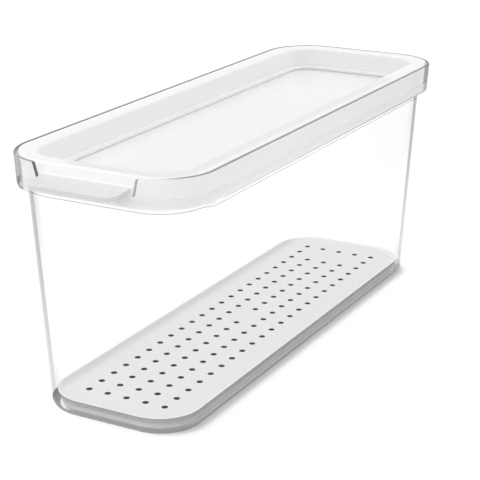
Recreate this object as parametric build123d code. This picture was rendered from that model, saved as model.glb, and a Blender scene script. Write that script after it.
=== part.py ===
from build123d import *
import os
from collections import namedtuple

# A clear fridge bin with a lift-off lid and a perforated drip tray.
# Millimetres, +Z up. The lid's pull tab is at -Y, the long sides face -X and +X.
# The origin is the middle of the face that the bin stands on.

# Bin, its outline taken outside at the floor
floor_length = 293.0
floor_width = 83.8
floor_corner = 23.0
floor_plate = 2.2
bin_wall = 1.8
base_rounding = 4.2
inside_rounding = 2.0
wall_height = 116.6
wall_flare = 5.3
wall_top_corner = 22.5

# Collar around the mouth of the bin, standing out on a flat shoulder
shoulder_step = 5.2
shoulder_plate = 2.2
collar_height = 16.8
collar_flare = 1.1
collar_wall = 2.2
collar_foot_rounding = 1.8
rim_rounding = 0.8

# Lid frame: a flat ring with an outer skirt, a sunken wall and a ledge over the window
lid_gap = 0.6
ring_width = 8.8
ring_plate = 2.0
ring_rounding = 0.8
skirt_wall = 1.8
recess_depth = 10.8
recess_wall = 1.6
ledge_width = 5.0
ledge_plate = 1.6

# Window panel, held under the ledge
window_plate = 1.6
window_gap = 0.1

# Pull tab of the lid and the notch in the collar that it passes through
tab_width = 48.8
tab_reach = 16.5
tab_plate = 2.4
tab_below_ring = 5.6
tab_fall = 0.9
tab_corner = 5.5
tab_rounding = 0.5
notch_side_gap = 1.8
notch_floor_gap = 0.4
notch_slant = 2.3
notch_corner = 1.8

# Drip tray, standing on the floor of the bin
tray_gap = 0.8
tray_corner_extra = 1.5
tray_height = 5.85
tray_foot_inset = 1.8
tray_wall = 1.6
lip_plate = 0.9
lip_reach = 1.3
lip_depth = 2.6
deck_plate = 1.6
rim_rise = 1.25
rim_top = 0.9
rim_slope = 2.2
hole_diameter = 3.4
hole_pitch_along = 11.5
hole_pitch_across = 11.2
hole_edge_margin = 14.0

# How near two places are when they count as one, and how far a cut runs past a face
touching = 0.01
cut_overrun = 1.0

# Heights that follow
shoulder_top = wall_height + shoulder_plate
rim_height = wall_height + collar_height
ledge_top = rim_height - recess_depth
window_top = ledge_top - ledge_plate
window_bottom = window_top - window_plate
tab_top = rim_height - tab_below_ring
notch_floor = tab_top - tab_fall - tab_plate - notch_floor_gap
tray_rim = floor_plate + tray_height
deck_top = tray_rim - rim_rise

# A rounded rectangle lying flat at height z, its length along Y
Outline = namedtuple("Outline", "length width corner z")


def grown(outline, by, z=None):
    height = outline.z if z is None else z
    return Outline(outline.length + 2 * by, outline.width + 2 * by, outline.corner + by, height)


def flat(outline):
    shape = RectangleRounded(outline.width, outline.length, outline.corner)
    return Plane.XY.offset(outline.z) * shape


def between(low, high):
    return loft([flat(low), flat(high)], ruled=True)


def column(outline, bottom, top):
    return between(outline._replace(z=bottom), outline._replace(z=top))


def edges_at(solid, z):
    return solid.edges().filter_by_position(Axis.Z, z - touching, z + touching)


# Edges with their middle at height low or above it, but under height high
def edges_between(solid, low, high):
    return solid.edges().filter_by_position(Axis.Z, low - touching, high - touching)


# Outside of the bin's wall at height z
def wall_outline(z):
    share = z / wall_height
    lean = wall_flare * share
    corner = floor_corner + (wall_top_corner - floor_corner) * share
    return Outline(floor_length + 2 * lean, floor_width + 2 * lean, corner, z)


# Outside of the collar at height z
def collar_outline(z):
    lean = collar_flare * (z - wall_height) / collar_height
    return grown(wall_outline(wall_height), shoulder_step + lean, z)


# Outside of the lid's skirt at height z
def skirt_outline(z):
    return grown(collar_outline(z), -collar_wall - lid_gap)


# Wall of the sunken part of the lid, on the side that faces the opening
recess_outline = grown(skirt_outline(rim_height), -ring_width)


def make_notch_cutter():
    low_half = tab_width / 2 + notch_side_gap
    high_half = low_half + notch_slant
    notch_height = rim_height - notch_floor
    mouth = Polygon(
        (-low_half, 0),
        (low_half, 0),
        (high_half, notch_height),
        (-high_half, notch_height),
        align=None,
    )
    plate_width = 2 * (high_half + 2 * notch_corner)
    plate = Pos(0, notch_height / 2) * Rectangle(plate_width, notch_height)
    kept = plate - mouth
    corners = [
        vertex
        for vertex in kept.vertices()
        if abs(abs(vertex.X) - high_half) < touching and abs(vertex.Y - notch_height) < touching
    ]
    cut = plate - fillet(corners, notch_corner)
    outside = collar_outline(rim_height).length / 2 + cut_overrun
    inside = skirt_outline(shoulder_top).length / 2
    facing_tab_end = Plane(origin=(0, -inside, notch_floor), x_dir=(1, 0, 0), z_dir=(0, -1, 0))
    return extrude(facing_tab_end * cut, amount=outside - inside)


def make_bin():
    wall = between(wall_outline(0), wall_outline(wall_height))
    wall = fillet(edges_at(wall, 0), base_rounding)
    collar = between(collar_outline(wall_height), collar_outline(rim_height))
    collar = fillet(edges_at(collar, wall_height), collar_foot_rounding)
    hollow_low = grown(wall_outline(floor_plate), -bin_wall)
    hollow_high = grown(wall_outline(shoulder_top), -bin_wall)
    hollow = between(hollow_low, hollow_high)
    hollow = fillet(edges_at(hollow, floor_plate), inside_rounding)
    mouth_low = grown(collar_outline(shoulder_top), -collar_wall)
    mouth_high = grown(collar_outline(rim_height), -collar_wall)
    mouth = between(mouth_low, mouth_high)
    body = wall + collar - hollow - mouth
    body = fillet(edges_at(body, rim_height), rim_rounding)
    return body - make_notch_cutter()


def make_tab():
    front = skirt_outline(tab_top).length / 2
    root = front - skirt_wall / 2
    tip = front + tab_reach
    side = Polygon(
        (-root, tab_top),
        (-front, tab_top),
        (-tip, tab_top - tab_fall),
        (-tip, tab_top - tab_fall - tab_plate),
        (-front, tab_top - tab_plate),
        (-root, tab_top - tab_plate),
        align=None,
    )
    slab = extrude(Plane.YZ * side, amount=tab_width / 2, both=True)
    tips = slab.edges().filter_by(Axis.Z).filter_by_position(Axis.Y, -tip - touching, -tip + touching)
    slab = fillet(tips, tab_corner)
    upper = edges_between(slab, tab_top - tab_fall, tab_top)
    lower = edges_between(slab, tab_top - tab_fall - tab_plate, tab_top - tab_plate)
    return fillet(upper + lower, tab_rounding)


def make_lid_frame():
    block = between(skirt_outline(shoulder_top), skirt_outline(rim_height))
    block = fillet(edges_at(block, rim_height), ring_rounding)
    under_ring = rim_height - ring_plate
    hollow = between(
        grown(skirt_outline(shoulder_top), -skirt_wall), grown(skirt_outline(under_ring), -skirt_wall)
    )
    hollow -= column(grown(recess_outline, recess_wall), shoulder_top, under_ring)
    recess = column(recess_outline, ledge_top, rim_height)
    opening = column(grown(recess_outline, -ledge_width), shoulder_top, ledge_top)
    pocket = column(recess_outline, shoulder_top, window_top)
    frame = block - hollow - recess - opening - pocket
    inner_edge = [
        edge
        for edge in edges_at(frame, rim_height)
        if abs(edge.center().X) < recess_outline.width / 2 + touching
        and abs(edge.center().Y) < recess_outline.length / 2 + touching
    ]
    frame = fillet(inner_edge, ring_rounding)
    return frame + make_tab()


def make_lid_window():
    return column(grown(recess_outline, -window_gap), window_bottom, window_top)


# Places of the tray's holes; the middle one and three near the far end are left bare
def hole_places(deck_length, deck_width):
    rows = int((deck_length - 2 * hole_edge_margin) / hole_pitch_along) + 1
    columns = int((deck_width - 2 * hole_edge_margin) / hole_pitch_across) + 1
    places = []
    for row in range(rows):
        for column_number in range(columns):
            from_middle = abs(2 * column_number - (columns - 1))
            is_centre = 2 * row == rows - 1 and from_middle == 0
            is_far_mark = row == rows - 2 and from_middle <= 2
            if is_centre or is_far_mark:
                continue
            across = (column_number - (columns - 1) / 2) * hole_pitch_across
            along = (row - (rows - 1) / 2) * hole_pitch_along
            places.append((across, along))
    return places


def make_drip_tray():
    inside = grown(wall_outline(tray_rim), -bin_wall - tray_gap)
    rim = inside._replace(corner=inside.corner + tray_corner_extra)
    under_lip = rim._replace(z=tray_rim - lip_plate)
    neck = grown(rim, -lip_reach, tray_rim - lip_depth)
    foot = grown(rim, -tray_foot_inset, floor_plate)
    body = between(foot, neck) + between(neck, under_lip) + between(under_lip, rim)
    deck = grown(rim, -rim_top - rim_slope, deck_top)
    dish = between(deck, grown(rim, -rim_top))
    under_deck = deck_top - deck_plate
    reach = (under_deck - floor_plate) / (neck.z - floor_plate)
    lean = (tray_foot_inset - lip_reach) * reach
    drain = between(grown(foot, -tray_wall), grown(foot, lean - tray_wall, under_deck))
    drill = Cylinder(
        hole_diameter / 2,
        deck_plate + 2 * cut_overrun,
        align=(Align.CENTER, Align.CENTER, Align.MIN),
    )
    holes = [Pos(x, y, under_deck - cut_overrun) * drill for x, y in hole_places(rim.length, rim.width)]
    return body - dish - drain - holes


os.makedirs("parts", exist_ok=True)
PIECES = {
    "bin": make_bin,
    "lid_frame": make_lid_frame,
    "lid_window": make_lid_window,
    "drip_tray": make_drip_tray,
}
for name, make in PIECES.items():
    export_step(make(), f"parts/{name}.step")
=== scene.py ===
import math
from types import SimpleNamespace

import bpy
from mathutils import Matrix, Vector


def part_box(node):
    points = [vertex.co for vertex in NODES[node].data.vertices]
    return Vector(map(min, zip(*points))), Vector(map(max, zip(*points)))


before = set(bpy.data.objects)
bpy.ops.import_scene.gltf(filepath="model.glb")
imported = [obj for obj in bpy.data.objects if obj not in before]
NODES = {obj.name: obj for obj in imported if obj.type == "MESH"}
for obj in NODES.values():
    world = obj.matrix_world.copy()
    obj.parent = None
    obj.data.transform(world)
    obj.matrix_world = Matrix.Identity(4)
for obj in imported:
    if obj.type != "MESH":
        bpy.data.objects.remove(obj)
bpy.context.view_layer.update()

# Camera, found from the tray's grid of holes
CAMERA_PLACE = (0.365683, -0.682983, 0.315813)
CAMERA_TURN = (71.2361, -0.1004, 28.4603)
CAMERA_LENS = 108.9256
CAMERA_NEAR = 0.05
CAMERA_FAR = 50.0
SENSOR_WIDTH = 36.0

# Light that falls on the object
SKY_LIGHT_LOW = 1.10
SKY_LIGHT_TOP = 0.88
SUN_LIGHT = 0.42
SUN_SOFTNESS = 70.0
SUN_FROM = (-0.35, -0.75, 0.8)

# Lamp that lights the floor alone, so that the object keeps a tight shadow beside it
FLOOR_LAMP_LIGHT = 5.4
FLOOR_LAMP_SOFTNESS = 30.0
FLOOR_LAMP_FROM = (-0.5, -0.25, 1.0)

# What glass and gloss see above the set, from level to straight up
SKY_SEEN = (1.0, 1.0, 1.0)
CEILING_SEEN = (0.60, 0.61, 0.63)
CEILING_START = 0.17
CEILING_FULL = 0.30

# Floor: its colour, and the glow that the eye sees on top of it, so that its shadows stay pale
FLOOR_SIZE = 8.0
FLOOR_DROP = 0.0002
FLOOR_COLOUR = (0.30, 0.30, 0.30)
FLOOR_GLOW = 0.32

# Bounces of light: enough to look through every wall of the bin and the window
CLEAR_BOUNCES = 24
GLOSS_BOUNCES = 12

# Places on the bin: top of the rim, underside of the shoulder, where the upright corners start at
# the floor, and how far that start moves out on the way up to the shoulder
RIM_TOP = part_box("bin")[1][2]
SHOULDER = 0.1166
CORNER_ALONG = 0.1235
CORNER_ACROSS = 0.0189
CORNER_FLARE = 0.0058

# Half the size of the lid's ring
RING_ACROSS = 0.0507
RING_ALONG = 0.1553

# The materials change over the surface in steps. Each step below has the values at which it
# starts and ends and, unless it goes from nothing to one, what it gives at these two. A line has
# its lower edge, its upper edge and its softness. Heights and places are in metres, and what
# faces a direction is one where it faces that way. Facing is nothing where a surface is seen
# square on and one where it is seen edge-on. A share is how much of the clear plastic shows.

# Clear plastic: outside faces, the flat underside, and the change from wall to collar
OUTER_FACE = (0.0, 0.002)
UNDERSIDE = (0.97, 0.995, 1.0, 0.0)
COLLAR_START = (SHOULDER - 0.0002, SHOULDER + 0.0002)

# Painted dark bands of shade on the upright corners, by facing, where the plastic is seen
# edge-on. Two opposite corners of the wall, the near left and the far right, have a softer
# painted band of shade inside the dark one.
BAND_CORNER = (-0.0018, -0.0010)
BAND_UPRIGHT = (0.4, 0.7)
WALL_BAND = (0.575, 0.63)
WALL_BAND_SHARE = (0.0, SHOULDER, 0.18, 0.38)
SOFT_CORNERS = (0.0, 0.001)
SOFT_BAND = (0.36, 0.60)
SOFT_BAND_UPPER_SHARE = (0.060, 0.105, 0.0, 0.35)
SOFT_BAND_LOWER_SHARE = (0.030, 0.008, 0.0, 0.50)
COLLAR_BAND = (0.55, 0.59)
COLLAR_BAND_SHARE = (0.7, 1.0, 0.38, 0.80)
COLLAR_BAND_FAR_GAIN = (0.10, 0.14, 1.0, 1.4)

# Painted dark band of shade round the foot of the wall, weaker at the far end
BASE_BAND_SHARE = (0.0030, 0.0046, 0.88, 0.0)
BASE_BAND_FAR_GAIN = (0.110, 0.140, 1.0, 0.30)

# Foot of the collar: a thin painted line of shade along the sides, stronger towards the far end,
# and a painted dark stroke of shade round a corner that is seen as an outline, by an eye that
# looks down on it a little
SIDES_START = (-0.1240, -0.1180)
FOOT_LINE = (SHOULDER + 0.0003, SHOULDER + 0.0014, 0.0003)
FOOT_LINE_SHARE = (-0.140, 0.140, 0.22, 0.80)
CORNER_FOOT_LINE = (SHOULDER - 0.0001, SHOULDER + 0.0020, 0.0008)
CORNER_FOOT_SHARE = 0.85
CORNER_FOOT_ALONG = (CORNER_ALONG + 0.004, CORNER_ALONG + 0.012)
CORNER_FOOT_ACROSS = (CORNER_ACROSS + 0.012, CORNER_ACROSS + 0.018)
OUTLINE = (0.50, 0.30)
LOOK_DOWN = 0.34

# Painted white of the lid, as it shows through the collar's foot: where it starts at the tab end
# and at the sides, its lower and upper edge above that
LID_WHITE_FOOT = (SHOULDER + 0.0019, SHOULDER + 0.0013)
LID_WHITE_LOWER = (-0.0002, 0.0002)
LID_WHITE_UPPER = (0.0062, 0.0046)
LID_WHITE_SHARE = 0.80

# Painted shade on the top of the rim: along the sides, at the far end, and to the left of the
# notch
RIM_UPPER = (RIM_TOP - 0.0006, RIM_TOP - 0.0003)
RIM_FACES_UP = (0.55, 0.80)
RIM_SIDES = (0.036, 0.050)
RIM_SIDES_GAIN = (-0.01, 0.01, 1.35, 1.1)
RIM_SIDES_SHARE = 0.65
RIM_FAR_SHARE = (0.120, 0.145, 0.0, 0.60)
RIM_LEFT_ALONG = (-0.1500, -0.1540)
RIM_LEFT_ACROSS = (-0.0255, -0.0275)
RIM_LEFT_SHARE = 0.60

# Painted shade on the cut side faces of the notch, darker where seen from outside and paler
# through the plastic
NOTCH_ALONG = (-0.1500, -0.1490, 1.0, 0.0)
NOTCH_ACROSS = (0.031, 0.033, 1.0, 0.0)
NOTCH_ABOVE = (0.1225, 0.1235)
NOTCH_FACES_SIDE = (0.55, 0.75)
NOTCH_SHARE = (0.92, 0.60)

# Painted thin line of shade on the wall below the shoulder: its height from the tab end to the
# sides, its edges
THIN_LINE_HEIGHT = (-0.1320, -0.1180, 0.1150, 0.1127)
THIN_LINE = (-0.00025, 0.00025, 0.0003)
THIN_LINE_UPRIGHT = (0.3, 0.5)
THIN_LINE_SHARE = 0.45

# Faint painted shade: left of the notch, on the sides of the collar and on the sides of the wall
LEFT_GREY_SHARE = (-0.0275, -0.0290, 0.0, 0.05)
COLLAR_GREY_SHARE = (-0.06, 0.15, 0.0, 0.10)
WALL_GREY_ABOVE = (0.02, 0.11)
WALL_GREY_SHARE = (-0.04, 0.15, 0.0, 0.10)

# Least and largest share of the clear plastic
LEAST_SHARE = 0.010
LARGEST_SHARE = 0.96

# Colours of the clear plastic: dark for its painted shade, paler with painted light low down
# where it is seen square on, and lid white
CLEAR_DARK = (0.09, 0.10, 0.125)
CLEAR_PALE = (0.34, 0.34, 0.345)
LID_WHITE = (0.86, 0.86, 0.87)
PALE_BELOW = (0.0060, 0.0045)
PALE_FACING = (0.70, 1.0, 1.0, 0.0)
CLEAR_ROUGHNESS = (0.06, 0.12)

# Tint of the light that passes, for a surface met square on and edge-on
TINT_FACING = (0.6, 1.0)
CLEAR_TINTS = ((0.985, 0.985, 0.985), (0.90, 0.90, 0.91))
WINDOW_TINTS = ((0.97, 0.97, 0.97), (0.88, 0.88, 0.88))

# Window panel
WINDOW_COLOUR = (0.93, 0.93, 0.955, 1.0)
WINDOW_ROUGHNESS = (0.03, 0.06)
WINDOW_SHARE = (0.6, 1.0, 0.36, 0.80)

# Slow changes of shade in the white plastics
SLIGHTLY_DARKER = 0.985

# Lid, painted shades that are added to one. The pull tab, in painted shade by how far it faces
# up.
TAB_START = (-0.1562, -0.1557, 1.0, 0.0)
TAB_SHADE = (0.3, 0.9, -0.29, -0.19)

# Painted shade on the near right part of the lid's ring, inside its outer line
RING_UPPER = (RIM_TOP - 0.0012, RIM_TOP - 0.0008)
RING_FACES_UP = (0.8, 0.95)
RING_RIGHT = (-0.016, -0.011)
RING_NEAR = (0.085, 0.091, 1.0, 0.0)
RING_LINE_ACROSS = (RING_ACROSS - 0.0024, RING_ACROSS - 0.0016)
RING_LINE_ALONG = (RING_ALONG - 0.0024, RING_ALONG - 0.0016)
RING_SHADE = -0.13

# Painted dark shade on the upright edge of the ledge around the window
LID_UPRIGHT = (0.3, 0.6)
OPENING_ACROSS = (0.0385, 0.0390)
OPENING_ALONG = (0.1430, 0.1435)
LEDGE_EDGE = (0.1209, 0.1214, 0.0002)
LEDGE_EDGE_SHADE = -0.50

# Painted shade in the sunken part of the lid: on its far wall, in the crease at the foot of its
# wall, and on its ledge
RECESS_ACROSS = (0.0425, 0.0430)
RECESS_ALONG = (0.1470, 0.1475)
FAR_WALL_FACES_TAB = (-0.3, -0.7)
FAR_WALL_PLACE = (0.125, 0.135)
FAR_WALL_SHADE = -0.11
CREASE = (0.1225, 0.1230, 0.0002)
CREASE_SHADE = -0.12
LEDGE_FACES_UP = (0.8, 0.9)
LEDGE_HEIGHT = (0.1230, 0.1228)
LEDGE_SHADE = -0.05

# Drip tray, painted shades that are added to one: walls of the holes, outside of the rim, left
# side. The top of the rim has a painted highlight.
TRAY_UPRIGHT = (0.5, 0.8)
DECK_ACROSS = (0.0300, 0.0302)
DECK_ALONG = (0.1350, 0.1352)
HOLE_SHADE = -0.82
TRAY_SIDE_SHADE = (0.0025, 0.0070, -0.22, -0.56)
TRAY_LEFT_SHADE = (-0.0440, -0.0310, -0.32, 0.0)
TRAY_RIM_PAINTED_HIGHLIGHT = (0.00795, 0.00803, 1.0, 1.12)

scene = bpy.context.scene


# Makes one node, sets its inputs, and links those given as sockets
def add(tree, kind, inputs=None, **settings):
    node = tree.nodes.new(kind)
    for name, value in settings.items():
        setattr(node, name, value)
    for name, value in (inputs or {}).items():
        socket = node.inputs[name]
        if isinstance(value, bpy.types.NodeSocket):
            tree.links.new(value, socket)
        else:
            socket.default_value = value
    return node


def maths(tree, operation, first, second=0.0):
    return add(tree, "ShaderNodeMath", {0: first, 1: second}, operation=operation).outputs[0]


def times(tree, *factors):
    product = factors[0]
    for factor in factors[1:]:
        product = maths(tree, "MULTIPLY", product, factor)
    return product


def plus(tree, *terms):
    total = terms[0]
    for term in terms[1:]:
        total = maths(tree, "ADD", total, term)
    return total


def minus(tree, first, second):
    return maths(tree, "SUBTRACT", first, second)


def divided(tree, first, second):
    return maths(tree, "DIVIDE", first, second)


def less_of(tree, first, second):
    return maths(tree, "MINIMUM", first, second)


def more_of(tree, first, second):
    return maths(tree, "MAXIMUM", first, second)


def size_of(tree, value):
    return maths(tree, "ABSOLUTE", value)


# A smooth step from low to high as the value goes from start to end
def ramp(tree, value, start, end, low=0.0, high=1.0):
    node = add(
        tree,
        "ShaderNodeMapRange",
        {"Value": value, "From Min": start, "From Max": end, "To Min": low, "To Max": high},
        interpolation_type="SMOOTHSTEP",
    )
    return node.outputs["Result"]


# A straight change from low to high as the value goes from nothing to one
def ranged(tree, value, low, high):
    node = add(tree, "ShaderNodeMapRange", {"Value": value, "To Min": low, "To Max": high})
    return node.outputs["Result"]


# One between start and end, each of them softened over the given length
def window(tree, value, start, end, softness):
    rise = ramp(tree, value, start - softness / 2, start + softness / 2)
    fall = ramp(tree, value, end - softness / 2, end + softness / 2, 1.0, 0.0)
    return times(tree, rise, fall)


# One inside a rectangle around the middle of the object, by its edges across and along
def within(tree, x, y, across, along):
    return times(
        tree,
        ramp(tree, size_of(tree, x), *across, 1.0, 0.0),
        ramp(tree, size_of(tree, y), *along, 1.0, 0.0),
    )


# One where a surface stands upright, nothing where it lies flat
def upright(tree, face_z, start, end):
    return ramp(tree, size_of(tree, face_z), start, end, 1.0, 0.0)


def new_material(name):
    material = bpy.data.materials.new(name)
    material.use_nodes = True
    material.node_tree.nodes.clear()
    return material, material.node_tree


# X, Y and Z of the place on the object, in metres
def place_of(tree):
    coordinates = add(tree, "ShaderNodeTexCoord").outputs["Object"]
    parts = add(tree, "ShaderNodeSeparateXYZ", {0: coordinates})
    return [parts.outputs[axis] for axis in "XYZ"]


# One where the eye meets a surface from inside the plastic
def seen_from_behind(tree):
    return add(tree, "ShaderNodeNewGeometry").outputs["Backfacing"]


# One on the side of a surface that faces out of the plastic, minus one on its other side
def side_seen(tree):
    return ranged(tree, seen_from_behind(tree), 1.0, -1.0)


# X, Y and Z of the direction out of the plastic, on the object, whichever side is seen
def facing_of(tree):
    towards_eye = add(tree, "ShaderNodeTexCoord").outputs["Normal"]
    outwards = scaled(tree, towards_eye, side_seen(tree))
    parts = add(tree, "ShaderNodeSeparateXYZ", {0: outwards})
    return [parts.outputs[axis] for axis in "XYZ"]


# Nothing where the surface is seen square on, one where it is seen edge-on
def grazing(tree):
    return add(tree, "ShaderNodeLayerWeight", {"Blend": 0.5}).outputs["Facing"]


def noise(tree, scale, detail):
    coordinates = add(tree, "ShaderNodeTexCoord").outputs["Object"]
    inputs = {"Vector": coordinates, "Scale": scale, "Detail": detail}
    return add(tree, "ShaderNodeTexNoise", inputs).outputs["Fac"]


def bump(tree, height, distance):
    return add(tree, "ShaderNodeBump", {"Height": height, "Distance": distance}).outputs["Normal"]


# Goes from the first colour to the second one; each is a socket, or three numbers
def mixed_colour(tree, share, *colours):
    ends = [end if isinstance(end, bpy.types.NodeSocket) else (*end, 1.0) for end in colours]
    inputs = {0: share, 6: ends[0], 7: ends[1]}
    return add(tree, "ShaderNodeMix", inputs, data_type="RGBA").outputs[2]


# A colour or a direction times a factor that changes over the surface
def scaled(tree, vector, factor):
    return add(tree, "ShaderNodeVectorMath", {0: vector, 3: factor}, operation="SCALE").outputs[0]


# One for what the eye sees, itself or in gloss and glass, nothing for the light on the object
def seen_directly(tree):
    path = add(tree, "ShaderNodeLightPath").outputs
    seen = plus(tree, path["Is Camera Ray"], path["Is Glossy Ray"], path["Is Transmission Ray"])
    return less_of(tree, seen, 1.0)


# Lamps and diffuse light pass straight through, the eye sees the surface
def lets_light_through(tree, surface, straight_tint, edge_tint):
    path = add(tree, "ShaderNodeLightPath").outputs
    passes = plus(tree, path["Is Shadow Ray"], path["Is Diffuse Ray"])
    tint = mixed_colour(tree, ramp(tree, grazing(tree), *TINT_FACING), straight_tint, edge_tint)
    through = add(tree, "ShaderNodeBsdfTransparent", {"Color": tint})
    both = add(tree, "ShaderNodeMixShader", {0: passes, 1: surface, 2: through.outputs[0]})
    return both.outputs[0]


# The places, directions and parts of the bin that the look of its plastic depends on
def bin_surface(tree):
    x, y, z = place_of(tree)
    face_x, face_y, face_z = facing_of(tree)
    away_from_middle = plus(tree, times(tree, face_x, x), times(tree, face_y, y))
    collar = ramp(tree, z, *COLLAR_START)
    return SimpleNamespace(
        x=x,
        y=y,
        z=z,
        across=size_of(tree, x),
        along=size_of(tree, y),
        face_x=face_x,
        face_z=face_z,
        facing=grazing(tree),
        outer=ramp(tree, away_from_middle, *OUTER_FACE),
        not_under=ramp(tree, times(tree, face_z, -1.0), *UNDERSIDE),
        from_outside=minus(tree, 1.0, seen_from_behind(tree)),
        collar=collar,
        wall=minus(tree, 1.0, collar),
        sides=ramp(tree, y, *SIDES_START),
    )


# Painted dark bands of shade on the wall's and the collar's upright corners, where they are seen
# edge-on
def corner_bands(tree, at):
    flare = times(tree, less_of(tree, at.z, SHOULDER), CORNER_FLARE / SHOULDER)
    past_end = minus(tree, minus(tree, at.along, flare), CORNER_ALONG)
    past_side = minus(tree, minus(tree, at.across, flare), CORNER_ACROSS)
    corner = times(
        tree,
        at.outer,
        ramp(tree, past_end, *BAND_CORNER),
        ramp(tree, past_side, *BAND_CORNER),
        upright(tree, at.face_z, *BAND_UPRIGHT),
    )
    soft_upper = ramp(tree, at.z, *SOFT_BAND_UPPER_SHARE)
    soft_lower = ramp(tree, at.z, *SOFT_BAND_LOWER_SHARE)
    soft_band = times(
        tree,
        ramp(tree, times(tree, at.x, at.y), *SOFT_CORNERS),
        ramp(tree, at.facing, *SOFT_BAND),
        plus(tree, soft_upper, soft_lower),
    )
    wall_band = more_of(tree, ramp(tree, at.facing, *WALL_BAND), soft_band)
    wall_band = times(tree, at.wall, wall_band, ramp(tree, at.z, *WALL_BAND_SHARE))
    collar_band = times(
        tree,
        at.collar,
        ramp(tree, at.facing, *COLLAR_BAND),
        ramp(tree, at.facing, *COLLAR_BAND_SHARE),
        ramp(tree, at.y, *COLLAR_BAND_FAR_GAIN),
    )
    return times(tree, corner, plus(tree, wall_band, collar_band))


# Painted dark band of shade round the foot of the wall, weaker at the far end
def base_band(tree, at):
    far_gain = ramp(tree, at.y, *BASE_BAND_FAR_GAIN)
    return times(tree, at.outer, at.not_under, ramp(tree, at.z, *BASE_BAND_SHARE), far_gain)


# Painted thin line of shade along the sides of the collar's foot
def foot_line(tree, at):
    line = window(tree, at.z, *FOOT_LINE)
    share = ramp(tree, at.y, *FOOT_LINE_SHARE)
    return times(tree, at.outer, at.from_outside, line, at.sides, share)


# One where a corner of the collar turns away from an eye that looks a little down on it, also on
# the rounding at its foot, and nothing along the straight sides
def corner_outline(tree, at):
    towards_eye = times(tree, side_seen(tree), minus(tree, 1.0, at.facing))
    level_part = minus(tree, towards_eye, times(tree, at.face_z, LOOK_DOWN))
    level_size = maths(tree, "SQRT", minus(tree, 1.0, times(tree, at.face_z, at.face_z)))
    turned = divided(tree, size_of(tree, level_part), level_size)
    return times(
        tree,
        ramp(tree, turned, *OUTLINE),
        ramp(tree, at.along, *CORNER_FOOT_ALONG),
        ramp(tree, at.across, *CORNER_FOOT_ACROSS),
    )


# Painted dark stroke of shade round the foot of an outlined corner of the collar
def corner_foot(tree, at, outline):
    line = window(tree, at.z, *CORNER_FOOT_LINE)
    return times(tree, at.outer, at.not_under, outline, line, CORNER_FOOT_SHARE)


# Painted white of the lid in the collar's foot, lower at the sides than at the tab end
def lid_white(tree, at, outline):
    above = minus(tree, at.z, ranged(tree, at.sides, *LID_WHITE_FOOT))
    band = times(tree, ramp(tree, above, *LID_WHITE_LOWER), ramp(tree, above, *LID_WHITE_UPPER))
    not_outline = minus(tree, 1.0, outline)
    return times(tree, at.outer, at.from_outside, band, not_outline, LID_WHITE_SHARE)


# Painted shade on the top of the rim, between the lid's ring and the outside of the collar
def rim_top(tree, at):
    top = times(tree, ramp(tree, at.z, *RIM_UPPER), ramp(tree, at.face_z, *RIM_FACES_UP))
    sides_gain = ramp(tree, at.x, *RIM_SIDES_GAIN)
    sides = times(tree, ramp(tree, at.across, *RIM_SIDES), sides_gain, RIM_SIDES_SHARE)
    far_end = ramp(tree, at.y, *RIM_FAR_SHARE)
    left_across = ramp(tree, at.x, *RIM_LEFT_ACROSS)
    left = times(tree, ramp(tree, at.y, *RIM_LEFT_ALONG), left_across, RIM_LEFT_SHARE)
    return times(tree, top, more_of(tree, sides, more_of(tree, far_end, left)))


# Painted shade on the cut faces at the sides of the notch
def notch_sides(tree, at):
    return times(
        tree,
        ramp(tree, at.y, *NOTCH_ALONG),
        ramp(tree, at.across, *NOTCH_ACROSS),
        ramp(tree, at.z, *NOTCH_ABOVE),
        ramp(tree, size_of(tree, at.face_x), *NOTCH_FACES_SIDE),
        ranged(tree, seen_from_behind(tree), *NOTCH_SHARE),
    )


# Painted thin line of shade on the wall below the shoulder
def thin_line(tree, at):
    above = minus(tree, at.z, ramp(tree, at.y, *THIN_LINE_HEIGHT))
    return times(
        tree,
        at.outer,
        at.from_outside,
        window(tree, above, *THIN_LINE),
        upright(tree, at.face_z, *THIN_LINE_UPRIGHT),
        THIN_LINE_SHARE,
    )


# Faint painted shade on the collar and the wall
def faint_painted_shades(tree, at):
    left = times(tree, at.collar, ramp(tree, at.x, *LEFT_GREY_SHARE))
    collar = times(tree, at.collar, at.sides, ramp(tree, at.y, *COLLAR_GREY_SHARE))
    above = ramp(tree, at.z, *WALL_GREY_ABOVE)
    wall = times(tree, at.wall, at.sides, above, ramp(tree, at.y, *WALL_GREY_SHARE))
    return times(tree, at.outer, at.from_outside, plus(tree, left, collar, wall))


# How much of the clear plastic is seen as its painted shade and not looked through, and the part
# of that which is the painted white of the lid
def clear_share(tree):
    at = bin_surface(tree)
    outline = corner_outline(tree, at)
    white = lid_white(tree, at, outline)
    total = plus(
        tree,
        LEAST_SHARE,
        corner_bands(tree, at),
        base_band(tree, at),
        foot_line(tree, at),
        corner_foot(tree, at, outline),
        white,
        rim_top(tree, at),
        notch_sides(tree, at),
        thin_line(tree, at),
        faint_painted_shades(tree, at),
    )
    return less_of(tree, total, LARGEST_SHARE), divided(tree, white, total)


# Painted shade, dark where the eye looks along the plastic, painted light, paler at the base for
# the floor's light that it carries, and white by the part of it that shows the lid
def clear_colour(tree, white_part):
    z = place_of(tree)[2]
    pale = times(tree, ramp(tree, z, *PALE_BELOW), ramp(tree, grazing(tree), *PALE_FACING))
    plastic = mixed_colour(tree, pale, CLEAR_DARK, CLEAR_PALE)
    return mixed_colour(tree, white_part, plastic, LID_WHITE)


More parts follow.
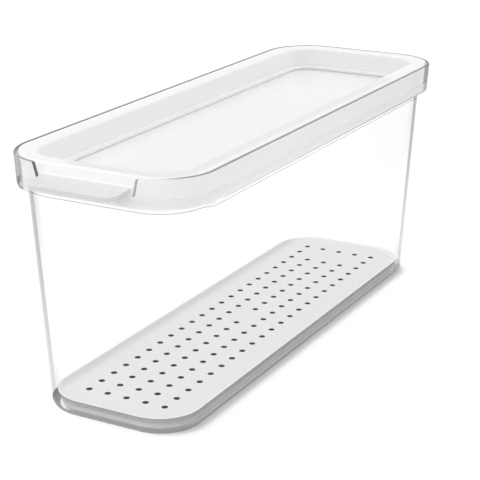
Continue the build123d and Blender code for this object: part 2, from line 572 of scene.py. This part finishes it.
def clear_bin_material():
    material, tree = new_material("clear_plastic_look")
    share, white_part = clear_share(tree)
    plastic = add(
        tree,
        "ShaderNodeBsdfPrincipled",
        {
            "Base Color": clear_colour(tree, white_part),
            "Roughness": ranged(tree, noise(tree, scale=350.0, detail=3.0), *CLEAR_ROUGHNESS),
            "IOR": 1.5,
            "Specular IOR Level": 0.15,
            "Alpha": share,
            "Normal": bump(tree, noise(tree, scale=40.0, detail=1.0), distance=0.000004),
        },
    )
    surface = lets_light_through(tree, plastic.outputs[0], *CLEAR_TINTS)
    add(tree, "ShaderNodeOutputMaterial", {"Surface": surface})
    return material


def window_material():
    material, tree = new_material("window_plastic_look")
    plastic = add(
        tree,
        "ShaderNodeBsdfPrincipled",
        {
            "Base Color": WINDOW_COLOUR,
            "Roughness": ranged(tree, noise(tree, scale=350.0, detail=3.0), *WINDOW_ROUGHNESS),
            "IOR": 1.5,
            "Coat Weight": 1.0,
            "Coat Roughness": 0.02,
            "Alpha": ramp(tree, grazing(tree), *WINDOW_SHARE),
        },
    )
    surface = lets_light_through(tree, plastic.outputs[0], *WINDOW_TINTS)
    add(tree, "ShaderNodeOutputMaterial", {"Surface": surface})
    return material


# Moulded plastic: slow changes of shade, a fine grain, and a painted shade factor from the caller
def white_plastic(name, colour, roughness, grain, grain_depth, depth_weight, painted_shade_factor):
    material, tree = new_material(name)
    darker = [SLIGHTLY_DARKER * part for part in colour]
    slow_change = ranged(tree, noise(tree, scale=25.0, detail=2.0), 0.0, 1.0)
    tint = mixed_colour(tree, slow_change, darker, colour)
    plastic = add(
        tree,
        "ShaderNodeBsdfPrincipled",
        {
            "Base Color": scaled(tree, tint, painted_shade_factor(tree)),
            "Roughness": ranged(tree, noise(tree, scale=grain / 2, detail=3.0), *roughness),
            "IOR": 1.49,
            "Subsurface Weight": depth_weight,
            "Subsurface Radius": (1.0, 1.0, 1.0),
            "Subsurface Scale": 0.002,
            "Normal": bump(tree, noise(tree, scale=grain, detail=3.0), distance=grain_depth),
        },
    )
    add(tree, "ShaderNodeOutputMaterial", {"Surface": plastic.outputs[0]})
    return material


# Painted shade: the tab, the near part of the ring and the sunken part are a little greyer, and
# the upright edge of the ledge is dark
def lid_painted_shade(tree):
    x, y, z = place_of(tree)
    face_y, face_z = facing_of(tree)[1:]
    standing = upright(tree, face_z, *LID_UPRIGHT)
    tab = times(tree, ramp(tree, y, *TAB_START), ramp(tree, face_z, *TAB_SHADE))
    ring = times(
        tree,
        ramp(tree, z, *RING_UPPER),
        ramp(tree, face_z, *RING_FACES_UP),
        ramp(tree, x, *RING_RIGHT),
        ramp(tree, y, *RING_NEAR),
        within(tree, x, y, RING_LINE_ACROSS, RING_LINE_ALONG),
        RING_SHADE,
    )
    at_opening = within(tree, x, y, OPENING_ACROSS, OPENING_ALONG)
    ledge_edge = times(tree, at_opening, standing, window(tree, z, *LEDGE_EDGE), LEDGE_EDGE_SHADE)
    in_recess = within(tree, x, y, RECESS_ACROSS, RECESS_ALONG)
    far_wall = times(
        tree,
        in_recess,
        ramp(tree, face_y, *FAR_WALL_FACES_TAB),
        ramp(tree, y, *FAR_WALL_PLACE),
        FAR_WALL_SHADE,
    )
    crease = times(tree, in_recess, standing, window(tree, z, *CREASE), CREASE_SHADE)
    ledge_top = times(tree, ramp(tree, face_z, *LEDGE_FACES_UP), ramp(tree, z, *LEDGE_HEIGHT))
    ledge = times(tree, in_recess, ledge_top, LEDGE_SHADE)
    return times(
        tree,
        plus(tree, 1.0, tab),
        plus(tree, 1.0, ring),
        plus(tree, 1.0, ledge_edge),
        plus(tree, 1.0, far_wall, crease, ledge),
    )


# Painted shade on the walls of the holes, the outside of the rim and the left side, and a painted
# highlight on the top of the rim
def tray_painted_shade(tree):
    x, y, z = place_of(tree)
    standing = upright(tree, facing_of(tree)[2], *TRAY_UPRIGHT)
    on_deck = within(tree, x, y, DECK_ACROSS, DECK_ALONG)
    off_deck = minus(tree, 1.0, on_deck)
    holes = times(tree, on_deck, standing, HOLE_SHADE)
    side = times(tree, off_deck, standing, ramp(tree, z, *TRAY_SIDE_SHADE))
    left = times(tree, off_deck, ramp(tree, x, *TRAY_LEFT_SHADE))
    return times(
        tree,
        plus(tree, 1.0, holes),
        plus(tree, 1.0, side),
        plus(tree, 1.0, left),
        ramp(tree, z, *TRAY_RIM_PAINTED_HIGHLIGHT),
    )


def dress(node, material):
    for slot in NODES[node].material_slots:
        slot.material = material


dress("bin", clear_bin_material())
dress("lid_window", window_material())
dress(
    "lid_frame",
    white_plastic(
        "white_lid_look",
        colour=(0.97, 0.97, 0.97),
        roughness=(0.28, 0.40),
        grain=900.0,
        grain_depth=0.00001,
        depth_weight=0.3,
        painted_shade_factor=lid_painted_shade,
    ),
)
dress(
    "drip_tray",
    white_plastic(
        "white_tray_look",
        colour=(0.89, 0.89, 0.905),
        roughness=(0.42, 0.58),
        grain=1400.0,
        grain_depth=0.00002,
        depth_weight=0.0,
        painted_shade_factor=tray_painted_shade,
    ),
)


def make_floor():
    half = FLOOR_SIZE / 2
    mesh = bpy.data.meshes.new("floor")
    corners = [(-half, -half), (half, -half), (half, half), (-half, half)]
    mesh.from_pydata([(x, y, -FLOOR_DROP) for x, y in corners], [], [(0, 1, 2, 3)])
    floor = bpy.data.objects.new("floor", mesh)
    scene.collection.objects.link(floor)
    material, tree = new_material("floor_look")
    matt = add(tree, "ShaderNodeBsdfDiffuse", {"Color": (*FLOOR_COLOUR, 1.0)})
    glow_seen = times(tree, seen_directly(tree), FLOOR_GLOW)
    glow = add(tree, "ShaderNodeEmission", {"Strength": glow_seen})
    both = add(tree, "ShaderNodeAddShader", {0: matt.outputs[0], 1: glow.outputs[0]})
    add(tree, "ShaderNodeOutputMaterial", {"Surface": both.outputs[0]})
    mesh.materials.append(material)
    return floor


# Height of a direction of the sky: nothing at the horizon, one straight up
def height_in_sky(tree):
    direction = add(tree, "ShaderNodeTexCoord").outputs["Generated"]
    return add(tree, "ShaderNodeSeparateXYZ", {0: direction}).outputs["Z"]


# A pale sky that lights the object, and a greyer ceiling that only gloss and glass show
def make_world():
    world = bpy.data.worlds.new("studio")
    world.use_nodes = True
    tree = world.node_tree
    tree.nodes.clear()
    height = height_in_sky(tree)
    ceiling = add(
        tree,
        "ShaderNodeMapRange",
        {"Value": height, "From Min": CEILING_START, "From Max": CEILING_FULL},
    ).outputs["Result"]
    colour = mixed_colour(tree, ceiling, SKY_SEEN, CEILING_SEEN)
    reflected = add(tree, "ShaderNodeBackground", {"Color": colour, "Strength": 1.0})
    strength = ramp(tree, height, 0.0, 1.0, SKY_LIGHT_LOW, SKY_LIGHT_TOP)
    light = add(tree, "ShaderNodeBackground", {"Color": (1, 1, 1, 1), "Strength": strength})
    both = add(
        tree,
        "ShaderNodeMixShader",
        {0: seen_directly(tree), 1: light.outputs[0], 2: reflected.outputs[0]},
    )
    add(tree, "ShaderNodeOutputWorld", {"Surface": both.outputs[0]})
    scene.world = world


def make_sun(name, strength, softness, direction):
    sun = bpy.data.lights.new(name, "SUN")
    sun.energy = strength
    sun.angle = math.radians(softness)
    holder = bpy.data.objects.new(name, sun)
    holder.rotation_euler = Vector(direction).to_track_quat("Z", "Y").to_euler()
    scene.collection.objects.link(holder)
    return holder


# The lamp lights only the given receivers, and only the given blockers stop it
def limit_lamp(lamp, receivers, blockers):
    for use, objects in (("receiver_collection", receivers), ("blocker_collection", blockers)):
        group = bpy.data.collections.new(use)
        for thing in objects:
            group.objects.link(thing)
        setattr(lamp.light_linking, use, group)


def make_camera():
    camera = bpy.data.cameras.new("camera")
    camera.lens = CAMERA_LENS
    camera.sensor_width = SENSOR_WIDTH
    camera.clip_start = CAMERA_NEAR
    camera.clip_end = CAMERA_FAR
    holder = bpy.data.objects.new("camera", camera)
    holder.location = CAMERA_PLACE
    holder.rotation_euler = [math.radians(angle) for angle in CAMERA_TURN]
    scene.collection.objects.link(holder)
    scene.camera = holder


floor = make_floor()
make_world()
make_sun("sun", SUN_LIGHT, SUN_SOFTNESS, SUN_FROM)
floor_lamp = make_sun("floor_lamp", FLOOR_LAMP_LIGHT, FLOOR_LAMP_SOFTNESS, FLOOR_LAMP_FROM)
limit_lamp(floor_lamp, [floor], [NODES["drip_tray"], NODES["bin"]])
make_camera()

scene.view_settings.view_transform = "Standard"
scene.cycles.max_bounces = CLEAR_BOUNCES
scene.cycles.transmission_bounces = CLEAR_BOUNCES
scene.cycles.transparent_max_bounces = CLEAR_BOUNCES
scene.cycles.glossy_bounces = GLOSS_BOUNCES
scene.cycles.caustics_reflective = False
scene.cycles.caustics_refractive = False
